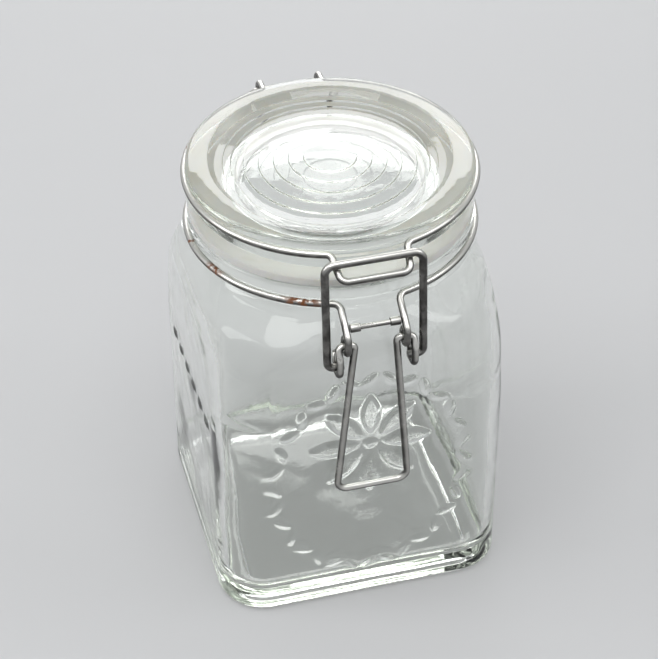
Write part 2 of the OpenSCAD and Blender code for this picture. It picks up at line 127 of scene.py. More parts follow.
class ReliefSizes(bpy.types.PropertyGroup):
    """Sizes of the raised flower, garland and leaves."""

    height: mm("Relief height", "How far the pattern stands out", 0.7)
    edge: mm("Relief edge", "Width of the pattern's soft edge", 1.4)
    flower_height: mm("Flower height", "Height of the flower's middle", 75)
    petals: whole("Petals", "Number of petals", 8, 5, 12)
    petal_length: mm("Petal length", "Length of a petal", 18)
    heart_radius: mm("Heart radius", "Radius of the flower's heart", 3)
    garland_height: mm("Garland height", "Height of the garland's middle", 60)
    garland_half_width: mm("Garland half width", "Half the garland's width", 35)
    garland_half_height: mm("Garland half height", "Half the garland's height", 44)
    garland_leaves: whole("Garland leaves", "Number of leaves in it", 32, 16, 40)
    garland_tilt: angle("Garland tilt", "Tilt of the leaves from the garland's line", 38)
    leaf_length: mm("Leaf length", "Length of a leaf", 8)
    leaf_pitch: mm("Leaf pitch", "Spacing of the leaves in the side's row", 10.4)
    leaf_row: whole("Leaves in the row", "Number of leaves in the side's row", 6, 3, 8)
    leaf_row_height: mm("Row height", "Height of the side's row of leaves", 74)


class LidSizes(bpy.types.PropertyGroup):
    """Sizes of the glass lid and its rubber ring."""

    radius: length("Lid radius", "Radius of the lid", LID_HIGH.x)
    top: length("Lid top", "Height of the lid's top", LID_HIGH.z)
    seat: length("Lid seat", "Height of the lid's seat on the ring", RING_HIGH.z)
    edge_radius: mm("Edge radius", "Rounding of the lid's upper edge", 1.8)
    rim_radius: mm("Rim radius", "Inner radius of the flat top rim", 42.4)
    slope_width: mm("Slope width", "Width of the slope inside the rim", 2.4)
    slope_depth: mm("Slope depth", "Depth of the foot of that slope", 2)
    terrace_width: mm("Terrace width", "Width of each of the two terraces", 2.8)
    terrace_depth: mm("Terrace depth", "Depth of the lower terrace", 2.6)
    well_depth: mm("Well depth", "Depth of the well's floor below the rim", 3.2)
    steps: whole("Steps", "Number of round steps", 5, 2, 6)
    step_inset: mm("Step inset", "Distance of the first step from the floor's edge", 4.4)
    step_width: mm("Step width", "Width of a step", 5.2)
    step_height: mm("Step height", "Height of a step", 0.6)
    step_radius: mm("Step radius", "Rounding of a step's edges", 0.26)
    plug_radius: mm("Plug radius", "Radius of the plug in the mouth", 37.6)
    plug_foot: length("Plug foot", "Height of the plug's lower edge", LID_LOW.z)
    plug_wall: mm("Plug wall", "Wall of the plug around its hollow", 4.4)
    plug_depth: mm("Plug depth", "Depth of the hollow in the plug", 12)
    plug_edge: mm("Plug edge", "Rounding of the plug's lower edge", 1.2)
    seal_bore: mm("Seal bore", "Inner radius of the rubber ring", 38.2)
    seal_edge: mm("Seal edge", "Rounding of the rubber ring's edges", 0.5)
    seal_sink: mm("Seal sink", "How far the lid sinks into the soft ring", 0.1)


class WireSizes(bpy.types.PropertyGroup):
    """Sizes of the wires around the lid and the neck and of the clamp."""

    wire: mm("Wire", "Diameter of the neck, lid and lever wires", 2.5)
    bail_wire: mm("Bail wire", "Diameter of the bail's wire", 2.8)
    bend: mm("Bend", "Radius of a usual bend", 3)
    play: mm("Play", "Radial play of a wire that turns in an eye", 0.1)
    lid_ring: mm("Lid ring", "Radius of the ring around the lid", 50.5)
    lid_ring_height: mm("Lid ring height", "Height of the ring around the lid", 157.4)
    tongue_x: mm("Tongue", "Half the width of the tongue", 11.8)
    tongue_root: mm("Tongue root", "Width of the tongue's root beside it", 4.2)
    tongue_y: mm("Tongue reach", "Distance of the tongue from the axis", 57.8)
    tongue_drop: mm("Tongue drop", "Drop of the tongue below its ring", 5.2)
    hinge_eye_x: mm("Hinge eyes", "Half the spacing of the hinge's eyes", 11)
    neck_ring: mm("Neck ring", "Radius of the ring around the neck", 50.6)
    neck_ring_height: mm("Neck ring height", "Height of the ring around the neck", 137.05)
    eye_x: mm("Lever eyes", "Half the spacing of the lever's eyes", 10.25)
    hook_width: mm("Hook width", "Width of the hook beside its eye", 5)
    hook_rise: mm("Hook rise", "Height of the hook above the pivot", 4)
    staple_x: mm("Hinge bar", "Half the width of the hinge bar", 15)
    crank_x: mm("Cranks", "Half the spacing of the cranks", 13.1)
    crank_tail: mm("Crank tail", "Length of a crank's free end above its pin", 4.4)
    crank_turn: mm("Crank turn", "Height below the pivot at which a crank turns in", 3.6)
    handle_top_x: mm("Handle top", "Half the width of the handle at its top", 7.2)
    handle_low_x: mm("Handle foot", "Half the width of the handle's lower end", 13)
    handle_low_y: mm("Handle foot reach", "Distance of the lower end from the axis", 56)
    handle_length: mm("Handle length", "Length of the handle below its pivot", 67)
    pin_proud: mm("Pin end", "How far a pin reaches past its crank", 0.6)
    bail_x: mm("Bail", "Half the width of the bail", 16.8)
    bail_bar_y: mm("Bail bar reach", "Distance of the bail's bar from the axis", 54.7)
    bail_bar_z: mm("Bail bar height", "Height of the bail's bar", 157.5)
    sleeve: mm("Sleeve", "Diameter of the tie bar's sleeves", 3)
    sleeve_length: mm("Sleeve length", "Length of a sleeve", 3.6)
    tie: mm("Tie bar", "Diameter of the tie bar", 1.8)


class Finishes(bpy.types.PropertyGroup):
    """Colours of glass, rubber and steel."""

    glass: colour("Glass", "Colour of the clear glass", (0.975, 0.985, 0.975))
    glass_depth: colour("Glass depth", "Colour of light that has gone far through the glass",
                        (0.68, 0.77, 0.60))
    glass_shadow: colour("Glass shadow", "How much light each surface of the glass lets through",
                         (0.985, 0.987, 0.985))
    rubber: colour("Rubber", "Colour of the sealing ring", (0.87, 0.86, 0.815))
    rubber_stain: colour("Rubber stain", "Colour of the ring's older patches", (0.80, 0.775, 0.69))
    steel_dark: colour("Dark steel", "Colour of the wire's dull parts", (0.065, 0.063, 0.06))
    steel_pale: colour("Pale steel", "Colour of the wire's cleaner patches", (0.2, 0.196, 0.186))
    # painted highlight colour of the wires' tops, also their real wear where handled
    steel_worn_and_highlight: colour("Bright steel", "Colour of the wire's rubbed tops", (0.78, 0.77, 0.73))
    rust: colour("Rust", "Colour of the rust spots", (0.24, 0.09, 0.035))


class StageSettings(bpy.types.PropertyGroup):
    """Floor, lamps and camera."""

    floor: colour("Floor", "Colour of the floor and the backdrop", (0.66, 0.665, 0.672))
    room_low: colour("Room below", "Colour of the room at the horizon", (0.38, 0.39, 0.40))
    room_high: colour("Room above", "Colour of the room overhead", (0.47, 0.48, 0.49))
    room_light: number("Room light", "Share of the surroundings that lights the scene", 0.45, 0, 1)
    far_glow: number("Far glow", "Own brightness of the floor where the lamps don't reach", 0.6, 0, 1)
    azimuth: angle("Azimuth", "Direction of the camera around the jar", -15)
    elevation: angle("Elevation", "Height of the camera above the horizon", 39.29)
    roll: angle("Roll", "Turn of the camera about its own axis", -0.22)
    distance: mm("Distance", "Distance of the camera from its aim", 820.8, high=5)
    lens: number("Lens", "Focal length in millimetres", 120.18, 20, 300)
    aim: FloatVectorProperty(name="Aim", description="Where the camera aims", subtype="TRANSLATION",
                             default=(2.5 * MM, 11.8 * MM, 74.7 * MM), unit="LENGTH", precision=5)


# ---------- shapes

DOUBLES = 0.001 * MM  # vertices closer than this are merged
STRAIGHT = 0.001  # a corner that turns less than this angle isn't rounded
TOP_HIGHLIGHT = 0.9  # painted highlight: how much lighter a wire is painted where it faces straight up
END_EASE = 0.12  # how far a wire's ends are rounded, as a share of its diameter


def soft_least(a, b, blend):
    """The lesser of two lengths, run together where they cross."""
    near = max(blend - abs(a - b), 0) / blend
    return min(a, b) - near * near * blend / 4


def soft_most(a, b, blend):
    """The greater of two lengths, run together where they cross."""
    return -soft_least(-a, -b, blend)


def square_reach(turn, half, corner):
    """How far a rounded square reaches from its middle in one direction."""
    across, along = sorted((abs(math.cos(turn)), abs(math.sin(turn))))
    flat = half / along
    middle = half - corner
    if flat * across <= middle:
        return flat
    lean = middle * (along + across)
    return lean + math.sqrt(max(lean * lean - 2 * middle * middle + corner * corner, 0))


def rounded_path(corners, degrees=9):
    """The points of a path of (place, radius) corners, each rounded in steps of some degrees."""
    path = [corners[0][0]]
    for (before, _), (corner, radius), (after, _) in zip(corners, corners[1:], corners[2:]):
        ahead = (corner - before).normalized()
        out = (after - corner).normalized()
        turn = ahead.angle(out)
        if radius <= 0 or turn < STRAIGHT:
            path.append(corner)
            continue
        start = corner - ahead * radius * math.tan(turn / 2)
        side = (out - ahead * ahead.dot(out)).normalized()
        steps = max(2, round(turn / math.radians(degrees)))
        for i in range(steps + 1):
            t = turn * i / steps
            path.append(start + side * radius * (1 - math.cos(t)) + ahead * radius * math.sin(t))
    path.append(corners[-1][0])
    return path


def turned_path(outline, degrees):
    """The rounded points of an outline of (radius, height, rounding) corners, in the XZ plane."""
    return rounded_path([(Vector((r, 0, z)), rounding) for r, z, rounding in outline], degrees)


def chain(bm, places):
    """New vertices at the places, and the edges that join them in a row."""
    verts = [bm.verts.new(p) for p in places]
    return verts, [bm.edges.new(pair) for pair in zip(verts, verts[1:])]


def spun(outline, segments, name):
    """A closed mesh turned about Z from an outline of (radius, height, rounding) corners."""
    bm = bmesh.new()
    verts, edges = chain(bm, turned_path(outline, 15))
    if outline[0][0] > 0:
        edges.append(bm.edges.new((verts[-1], verts[0])))
    bmesh.ops.spin(bm, geom=verts + edges, axis=(0, 0, 1), cent=(0, 0, 0), dvec=(0, 0, 0),
                   angle=2 * math.pi, steps=segments, use_merge=True, use_duplicate=False)
    bmesh.ops.remove_doubles(bm, verts=bm.verts, dist=DOUBLES)
    return mesh_from(bm, name)


def mesh_from(bm, name):
    """A smooth-shaded mesh with its faces outwards, from a finished bmesh."""
    bmesh.ops.recalc_face_normals(bm, faces=bm.faces)
    for face in bm.faces:
        face.smooth = True
    mesh = bpy.data.meshes.new(name)
    bm.to_mesh(mesh)
    bm.free()
    return mesh


def wire_mesh(half, diameter, name, handled=0.3):
    """A round wire bent along half a path and its mirror image across YZ, with its two ends eased."""
    path = rounded_path(half + [(Vector((-p.x, p.y, p.z)), radius) for p, radius in reversed(half)])
    curve = bpy.data.curves.new(name, "CURVE")
    curve.dimensions = "3D"
    curve.bevel_depth = diameter / 2
    curve.bevel_resolution = 5
    curve.use_fill_caps = True
    spline = curve.splines.new("POLY")
    spline.points.add(len(path) - 1)
    for point, place in zip(spline.points, path):
        point.co = (*place, 1)
    holder = bpy.data.objects.new(name, curve)
    bm = bmesh.new()
    bm.from_mesh(holder.to_mesh())
    holder.to_mesh_clear()
    bpy.data.objects.remove(holder)
    bpy.data.curves.remove(curve)
    bmesh.ops.remove_doubles(bm, verts=bm.verts, dist=DOUBLES)
    ends = {edge for face in bm.faces if len(face.verts) > 4 for edge in face.edges}
    bmesh.ops.bevel(bm, geom=list(ends), offset=diameter * END_EASE, segments=2,
                    profile=0.5, affect="EDGES", material=-1)
    mesh = mesh_from(bm, name)
    mark_wear_and_highlight(mesh, handled)
    return mesh


def outward(place):
    """The level direction away from the axis."""
    return Vector((place.x, place.y, 0)).normalized()


def mark_wear_and_highlight(mesh, handled=0.3):
    """Marks how light each point of a wire is painted: a painted highlight on its top, and real wear from
    handling outside as far as it is handled.
    """
    marks = mesh.attributes.new("wear_and_highlight", "FLOAT", "POINT")
    for vertex, mark in zip(mesh.vertices, marks.data):
        facing_out = vertex.normal.dot(outward(vertex.co))
        # the upward share is a painted highlight, the outward share is real wear from handling
        mark.value = max(TOP_HIGHLIGHT * vertex.normal.z + handled * facing_out, 0)


def at_x(x, *spots):
    """Corners of a path at one x, from (y, z, radius) each."""
    return [(Vector((x, y, z)), radius) for y, z, radius in spots]


def ring_corners(radius, height, start, end):
    """Corners along a level ring between two angles from +X, close enough to need no rounding."""
    count = max(2, math.ceil(abs(end - start) / math.radians(2.5)))
    turns = [start + (end - start) * i / count for i in range(count + 1)]
    return [(Vector((radius * math.cos(t), radius * math.sin(t), height)), 0) for t in turns]


def leaving(radius, ring_x, away_x):
    """How far along Y the tangent at ring_x of a ring has come when it is at away_x."""
    turn = math.asin(ring_x / radius)
    return radius * math.cos(turn) + (ring_x - away_x) * math.tan(turn)


def add_object(name, data):
    """A new object in the scene."""
    thing = bpy.data.objects.new(name, data)
    bpy.context.scene.collection.objects.link(thing)
    return thing


def add_piece(name, mesh, material, body, slot, *nodes):
    """Puts a finished mesh into the scene, riding on its body in place of its CAD node."""
    mesh.materials.append(material)
    piece = add_object(name, mesh)
    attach(piece, body)
    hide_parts(*nodes)


# ---------- jar

CORNER_CLEARANCE = 0.5 * MM  # how far the turned surface stands off the corners where it starts
CORNER_SPREAD = 0.3  # how fast it spreads below that
NECK_BLEND = 2 * MM  # how widely the shoulder runs into the neck
LEAST_CORNER = 2 * MM  # the smallest corner of a loop under the base
BASE_PARTS = (0.06, 0.3, 0.6, 0.85)  # loops of the hollow under the base, as shares of its width
FLOOR_PARTS = (0.98, 0.9, 0.75, 0.5, 0.25, 0.05)  # loops of the floor inside, in the same way
FLOOR_RISE, FLOOR_EDGE = 0.8 * MM, 2 * MM  # how far its middle stands up, and up to where it is uneven
FOOT_EDGE = ((MM, 1), (0.4 * MM, 0.75), (-0.4 * MM, 0.1), (-MM, 0))  # offset and rise where it meets the foot
INNER_SWELL, INNER_RIPPLE, OUTER_SWELL = 30 * MM, 9 * MM, 40 * MM  # lengths of the uneven glass's waves
RELIEF_LOW, RELIEF_HIGH, RELIEF_LOOPS = 11 * MM, 109 * MM, 122  # where the loops lie close together
WALL_LOW = 84 * MM  # height inside from which the wall goes straight down
FACE_LINES = ((-90, 100), (0, 36), (90, 36), (180, 64))  # direction of each face and its edge lines
CORNER_LINES = 12  # edge lines of a corner
FACE_START = 0.9  # a place further out than this share of the half width is on a face


class JarShape:
    """The jar's surfaces, as distances from its axis."""

    def __init__(self, sizes):
        self.s = sizes
        reach = (sizes.half_width - sizes.corner_radius) * math.sqrt(2) + sizes.corner_radius
        self.dome_x = reach + CORNER_CLEARANCE - sizes.corner_lean_radius

    def walls(self, turn, z, skin, foot):
        """Reach of the four leaning walls above their rounded foot, at a depth of skin in the glass."""
        s = self.s
        rise = max(z - s.lean_start, 0)
        radius = s.lean_radius - skin
        half = s.half_width - s.lean_radius + math.sqrt(max(radius * radius - rise * rise, 0))
        heel = s.heel_radius + skin
        drop = min(max(foot + heel - z, 0), heel)
        inset = skin + heel - math.sqrt(heel ** 2 - drop ** 2)
        return square_reach(turn, half + skin - inset, s.corner_radius - inset)

    def dome(self, z, skin, knee_z, end_radius, end_z):
        """Radius of the turned surface that cuts the corners at a height."""
        s = self.s
        arc = s.corner_lean_radius - skin
        rise = z - s.corner_lean_start
        tip = Vector((math.sin(s.shoulder_slope), math.cos(s.shoulder_slope))) * arc
        if rise <= 0:
            return self.dome_x + arc - rise * CORNER_SPREAD
        if rise <= tip.y:
            return self.dome_x + math.sqrt(arc * arc - rise * rise)
        tip_x = self.dome_x + tip.x
        slope = knee_z - s.corner_lean_start - tip.y
        knee = tip_x - slope / math.tan(s.shoulder_slope)
        if z <= knee_z:
            return tip_x + (knee - tip_x) * ((rise - tip.y) / slope)
        return knee + (end_radius - knee) * min((z - knee_z) / (end_z - knee_z), 1)

    def outside(self, turn, z):
        """Distance of the outer surface from the axis."""
        s = self.s
        dome = self.dome(z, 0, s.neck_end - MM, s.neck_radius, s.neck_end)
        body = soft_least(self.walls(turn, z, 0, 0), dome, s.shoulder_blend)
        if z < s.lean_start:
            return body
        return soft_most(body, s.neck_radius, NECK_BLEND)

    def inside(self, turn, z):
        """Distance of the inner surface from the axis."""
        s = self.s
        dome = self.dome(z, s.wall, s.inner_knee, s.mouth_radius, s.neck_end - s.wall)
        return soft_least(self.walls(turn, z, s.wall, s.base), dome, s.shoulder_blend)


def leaf_height(u, v, size, relief):
    """Height of a pointed leaf at a place along and across it."""
    if abs(u) > size / 2 or abs(v) > size / 4:
        return 0
    arc = 0.75 * size
    side = math.sqrt(arc * arc - size * size / 4)
    depth = arc - math.hypot(u, abs(v) + side)
    if depth <= 0:
        return 0
    return relief.height * math.sin(math.pi / 2 * min(depth / relief.edge, 1))


def flower_height(x, z, relief):
    """Height of the flower at a place on the front face."""
    z -= relief.flower_height
    away = math.hypot(x, z)
    heart = 0
    if away < relief.heart_radius:
        heart = math.sqrt(relief.heart_radius ** 2 - away ** 2) - relief.heart_radius + relief.height
    middle = relief.heart_radius + 2 * relief.height + relief.petal_length / 2
    pitch = 2 * math.pi / relief.petals
    turn = math.atan2(z, x)
    turn -= pitch * round(turn / pitch)
    u, v = away * math.cos(turn) - middle, away * math.sin(turn)
    return max(heart, leaf_height(u, v, relief.petal_length, relief), 0)


def garland_places(relief):
    """Place and tilt of each leaf of the garland."""
    places = []
    width, height = relief.garland_half_width, relief.garland_half_height
    for i in range(relief.garland_leaves):
        t = 2 * math.pi * i / relief.garland_leaves
        along = math.atan2(height * math.cos(t), -width * math.sin(t))
        tilt = relief.garland_tilt if i % 2 == 0 else -relief.garland_tilt
        places.append((width * math.cos(t), relief.garland_height + height * math.sin(t), along + tilt))
    return places


def front_relief(x, z, relief, garland):
    """Height of the pattern on the front face."""
    height = flower_height(x, z, relief)
    for leaf_x, leaf_z, tilt in garland:
        across, up = x - leaf_x, z - leaf_z
        if abs(across) + abs(up) < relief.leaf_length:
            u = across * math.cos(tilt) + up * math.sin(tilt)
            v = up * math.cos(tilt) - across * math.sin(tilt)
            height = max(height, leaf_height(u, v, relief.leaf_length, relief))
    return height


def side_relief(y, z, relief):
    """Height of the row of leaves on the left face."""
    middle = (relief.leaf_row - 1) / 2
    nearest = min(max(round(y / relief.leaf_pitch + middle), 0), relief.leaf_row - 1) - middle
    return leaf_height(y - nearest * relief.leaf_pitch, z - relief.leaf_row_height,
                       relief.leaf_length, relief)


def jar_directions(sizes):
    """Directions of the jar's upright edge lines: close together where the pattern is."""
    turns = []
    flat = sizes.half_width - sizes.corner_radius
    edge = math.atan2(flat, sizes.half_width)
    for face, lines in FACE_LINES:
        middle = math.radians(face)
        turns += [middle + math.atan2(flat * (2 * i / lines - 1), sizes.half_width) for i in range(lines)]
        turns += [middle + edge + (math.pi / 2 - 2 * edge) * i / CORNER_LINES for i in range(CORNER_LINES)]
    return turns


def span(start, end, count):
    """Evenly spaced numbers from start up to, but without, end."""
    return [start + (end - start) * i / count for i in range(count)]


def jar_loops(s, turns):
    """Loops of the jar's skin, as (reach, height) pairs, and how many come before the inside wall."""
    shape = JarShape(s)
    rim = JAR_HIGH.z
    bead_low = rim - s.bead_height
    inner_top = s.neck_end - s.wall
    heel = s.heel_radius + s.wall
    loops = []

    def under(inset, z):
        corner = max(s.corner_radius - inset, LEAST_CORNER)
        loops.append([(square_reach(t, s.half_width - inset, corner), z) for t in turns])

    for part in BASE_PARTS:
        under(s.half_width - (s.half_width - s.foot) * part, s.pushup)
    for offset, rise in FOOT_EDGE:
        under(s.foot + offset, s.pushup * rise)
    under(s.heel_radius + 2 * MM, 0)  # the flat band
    heights = [s.heel_radius * (1 - math.cos(t)) for t in span(0.05, math.pi / 2, 7)]
    heights += (span(s.heel_radius, RELIEF_LOW, 4) + span(RELIEF_LOW, RELIEF_HIGH, RELIEF_LOOPS)
                + span(RELIEF_HIGH, s.neck_end, 22))
    loops += [[(shape.outside(t, z), z) for t in turns] for z in heights]
    neck = ((s.neck_radius, s.neck_end - 0.6 * MM, 0),
            (s.groove_radius + 0.5 * MM, s.neck_end, 0.6 * MM),
            (s.groove_radius, s.neck_end + 1.4 * MM, 1 * MM),
            (s.groove_radius, bead_low, 0), (s.bead_radius, bead_low, 1 * MM),
            (s.bead_radius, rim, 1.4 * MM), (s.mouth_radius, rim, 1.2 * MM),
            (s.mouth_radius, inner_top, 0))
    loops += [[(p.x, p.z)] * len(turns) for p in turned_path(neck, 20)]
    outer = len(loops)
    heights = span(inner_top, s.inner_knee, 8) + span(s.inner_knee, WALL_LOW, 16)
    heights += span(WALL_LOW, s.base + heel, 26)
    heights += [s.base + heel * (1 - math.sin(t)) for t in span(0, math.pi / 2, 7)]
    loops += [[(shape.inside(t, z), z) for t in turns] for z in heights[1:]]
    floor_edge = [shape.inside(t, s.base + 0.02 * MM) for t in turns]
    loops += [[(reach * part, s.base + FLOOR_RISE * (1 - part ** 2)) for reach in floor_edge]
              for part in FLOOR_PARTS]
    return loops, outer


def uneven(place, scale, depth):
    """A smooth random swing that stays the same on every run."""
    return noise.noise(place / scale) * depth


def shape_inside(vert, z, sizes):
    """Gives the inner surface the unevenness of pressed glass."""
    swing = uneven(vert.co, INNER_SWELL, sizes.waviness) + uneven(vert.co, INNER_RIPPLE, sizes.waviness / 5)
    if z < sizes.inner_knee:
        vert.co += outward(vert.co) * swing
    if z < sizes.base + FLOOR_EDGE:
        vert.co.z += swing


def shape_outside(vert, z, sizes, relief, garland):
    """Makes a wall uneven and raises the pattern of its face, whose height it returns."""
    vert.co += outward(vert.co) * ((uneven(vert.co, OUTER_SWELL, sizes.waviness) - sizes.waviness) / 3)
    height = 0
    face = -FACE_START * sizes.half_width
    if vert.co.y < face:
        height = front_relief(vert.co.x, z, relief, garland)
        vert.co.y -= height
    elif vert.co.x < face:
        height = side_relief(vert.co.y, z, relief)
        vert.co.x -= height
    return height


def jar_mesh(sizes, relief):
    """The jar as one closed skin: under the base, up the outside, over the rim and down the inside."""
    turns = jar_directions(sizes)
    loops, outer = jar_loops(sizes, turns)
    garland = garland_places(relief)
    bm = bmesh.new()
    raised = bm.verts.layers.float.new("raised")
    ring = bmesh.ops.create_circle(bm, cap_ends=True, cap_tris=True, segments=len(turns), radius=MM)
    centre = max(ring["verts"], key=lambda v: len(v.link_edges))
    centre.co.z = sizes.pushup
    row = sorted((v for v in ring["verts"] if v != centre), key=lambda v: math.atan2(v.co.y, v.co.x))
    spots = sorted(range(len(turns)), key=lambda i: math.atan2(math.sin(turns[i]), math.cos(turns[i])))
    edges = [e for e in bm.edges if centre not in e.verts]
    for index, loop in enumerate(loops):
        if index > 0:
            step = bmesh.ops.extrude_edge_only(bm, edges=edges)["geom"]
            edges = [item for item in step if isinstance(item, bmesh.types.BMEdge)
                     and all(v in step for v in item.verts)]
            fresh = {v for v in step if isinstance(v, bmesh.types.BMVert)}
            row = [next(e.other_vert(v) for e in v.link_edges if e.other_vert(v) in fresh) for v in row]
        for vert, spot in zip(row, spots):
            reach, z = loop[spot]
            vert.co = (reach * math.cos(turns[spot]), reach * math.sin(turns[spot]), z)
            height = 0
            if index >= outer:
                shape_inside(vert, z, sizes)
            elif sizes.heel_radius < z < sizes.lean_start:
                height = shape_outside(vert, z, sizes, relief, garland)
            vert[raised] = height / relief.height
    step = bmesh.ops.extrude_edge_only(bm, edges=edges)["geom"]
    last = [v for v in step if isinstance(v, bmesh.types.BMVert)]
    bmesh.ops.pointmerge(bm, verts=last, merge_co=(0, 0, sizes.base + FLOOR_RISE))
    return mesh_from(bm, "Glass_Jar")


# ---------- lid and ring

TURNED_STEPS = 192  # steps of the lid and of the rubber ring around their axis
WELL_EDGE = 0.27 * MM  # rounding of the edges of the well and of its terraces
GROOVE_LIP, GROOVE_FLAT = 1.4 * MM, 0.7 * MM  # half heights of the lid's wire groove, at its edge and inside


def lid_mesh(s, wires):
    """The lid, turned: steps and well, rim, side with its wire groove, seat and hollow plug."""
    floor = s.top - s.well_depth
    slope_foot = s.rim_radius - s.slope_width
    terrace = slope_foot - s.terrace_width
    well = terrace - s.terrace_width
    low, high = s.top - s.terrace_depth, s.top - s.slope_depth
    groove = wires.lid_ring - wires.wire / 2 - wires.play
    z = wires.lid_ring_height
    bore = s.plug_radius - s.plug_wall
    hollow = s.plug_foot + s.plug_depth
    outline = [(0, floor + s.steps * s.step_height, 0)]
    for i in reversed(range(s.steps)):
        edge = well - s.step_inset - i * s.step_width
        foot = floor + i * s.step_height
        outline += [(edge, foot + s.step_height, s.step_radius), (edge, foot, s.step_radius)]
    outline += [(well, floor, WELL_EDGE), (well, low, WELL_EDGE), (terrace, low, WELL_EDGE),
                (terrace, high, WELL_EDGE), (slope_foot, high, 0.6 * MM), (s.rim_radius, s.top, 0.9 * MM),
                (s.radius, s.top, s.edge_radius), (s.radius, z + GROOVE_LIP, 0.3 * MM),
                (groove, z + GROOVE_FLAT, 0.4 * MM), (groove, z - GROOVE_FLAT, 0.4 * MM),
                (s.radius, z - GROOVE_LIP, 0.3 * MM), (s.radius, s.seat, 0.5 * MM),
                (s.plug_radius, s.seat, 0.4 * MM), (s.plug_radius, s.plug_foot, s.plug_edge),
                (bore, s.plug_foot, 0.8 * MM), (bore, hollow, 0.8 * MM), (0, hollow, 0)]
    return spun(outline, TURNED_STEPS, "Glass_Lid")


def ring_mesh(s):
    """The flat rubber ring, turned."""
    low, high = RING_LOW.z, RING_HIGH.z + s.seal_sink
    bore, outer, edge = s.seal_bore, RING_HIGH.x, s.seal_edge
    outline = [(bore, (low + high) / 2, 0), (bore, low, edge), (outer, low, edge), (outer, high, edge),
               (bore, high, 0)]
    return spun(outline, TURNED_STEPS, "Sealing_Ring")


# ---------- wires

CRANK_BEND, PIVOT_BEND, HANDLE_BEND = 2.4 * MM, 1.7 * MM, 3.6 * MM  # radii of the lever's own bends
PIN_BEND, BAIL_BEND = 2.2 * MM, 3.4 * MM  # radii of the bail's bends at its pins and at its bar


def lid_wire_mesh(w):
    """The wire around the lid, from one hinge eye by way of the tongue to the other."""
    radius, y, z = w.lid_ring, LID_HINGE.y, w.lid_ring_height
    eye = w.wire + w.play
    front_x = w.tongue_x + w.tongue_root
    rear_x = w.hinge_eye_x + w.bend
    side_x = front_x - w.bend
    half = at_x(w.hinge_eye_x, (y - eye, z - 0.8 * eye, 0), (y - eye, z - 2 * eye, eye),
                (y + eye, z - 2 * eye, eye), (y + eye, z, eye),
                (leaving(radius, rear_x, w.hinge_eye_x), z, w.bend))
    half += ring_corners(radius, z, math.acos(rear_x / radius), -math.acos(front_x / radius))
    half += at_x(side_x, (-leaving(radius, front_x, side_x), z, w.bend - 0.3 * MM))
    half += at_x(w.tongue_x, (-w.tongue_y, z - w.tongue_drop, w.bend))
    return wire_mesh(half, w.wire, "Lid_Wire")


def neck_wire_mesh(w):
    """The wire around the neck, from one lever eye by way of the hinge bar to the other."""
    radius, ring_z = w.neck_ring, w.neck_ring_height
    y, z = LEVER_PIVOT.y, LEVER_PIVOT.z
    eye = w.wire + w.play
    front_x = w.eye_x + w.hook_width
    rear_x = w.staple_x + w.bend
    half = at_x(w.eye_x, (y - eye / 4, z + eye, 0), (y + eye, z + eye, eye), (y + eye, z - eye, eye),
                (y - eye, z - eye, eye), (y - eye, z + w.hook_rise, w.bend - 0.4 * MM),
                (-leaving(radius, front_x, w.eye_x), ring_z, w.bend))
    half += ring_corners(radius, ring_z, -math.acos(front_x / radius), math.acos(rear_x / radius))
    half += at_x(w.staple_x, (leaving(radius, rear_x, w.staple_x), ring_z, w.bend),
                 (LID_HINGE.y, ring_z, w.bend), (LID_HINGE.y, LID_HINGE.z, w.bend))
    return wire_mesh(half, w.wire, "Neck_Wire")


def tie_mesh(w):
    """The thin tie bar between the lever's eyes, with a crimped sleeve at each end."""
    low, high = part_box("neck_wire_tie")
    y, z = (low.y + high.y) / 2, (low.z + high.z) / 2
    sleeve = w.sleeve / 2
    start = high.x - w.sleeve_length
    half = [(0, high.x, 0), (sleeve, high.x, 0.3 * MM), (sleeve, start, 0.3 * MM),
            (w.tie / 2, start, 0.2 * MM)]
    mesh = spun([(r, -along, edge) for r, along, edge in half] + half[::-1], 24, "Neck_Wire_Tie")
    mesh.transform(Matrix.Translation((0, y, z)) @ Matrix.Rotation(math.pi / 2, 4, "Y"))
    mark_wear_and_highlight(mesh)
    return mesh


def lever_mesh(w):
    """The lever: the handle, its pivots in the eyes and the looped cranks outside them."""
    y, z, pin_z = LEVER_PIVOT.y, LEVER_PIVOT.z, BAIL_PIN.z
    loop = (w.wire + w.bail_wire) / 2 + w.play
    half = at_x(w.crank_x, (y + loop, pin_z + w.crank_tail, 0), (y + loop, pin_z - loop, loop),
                (y - loop, pin_z - loop, loop), (y - loop, z - w.crank_turn, CRANK_BEND),
                (y, z, PIVOT_BEND))
    half += at_x(w.handle_top_x, (y, z, PIVOT_BEND))
    half += at_x(w.handle_low_x, (-w.handle_low_y, z - w.handle_length, HANDLE_BEND))
    return wire_mesh(half, w.wire, "Lever", handled=0.65)


def bail_mesh(w):
    """The bail: a bar over the tongue, two legs and a pin into each crank."""
    y, z = BAIL_PIN.y, BAIL_PIN.z
    half = at_x(w.crank_x - w.wire / 2 - w.pin_proud, (y, z, 0))
    half += at_x(w.bail_x, (y, z, PIN_BEND), (-w.bail_bar_y, w.bail_bar_z, BAIL_BEND))
    return wire_mesh(half, w.bail_wire, "Bail")


# ---------- finishes

MIX_LOW, MIX_HIGH, MIX_RESULT = 6, 7, 2  # sockets of a Mix node that mixes colours


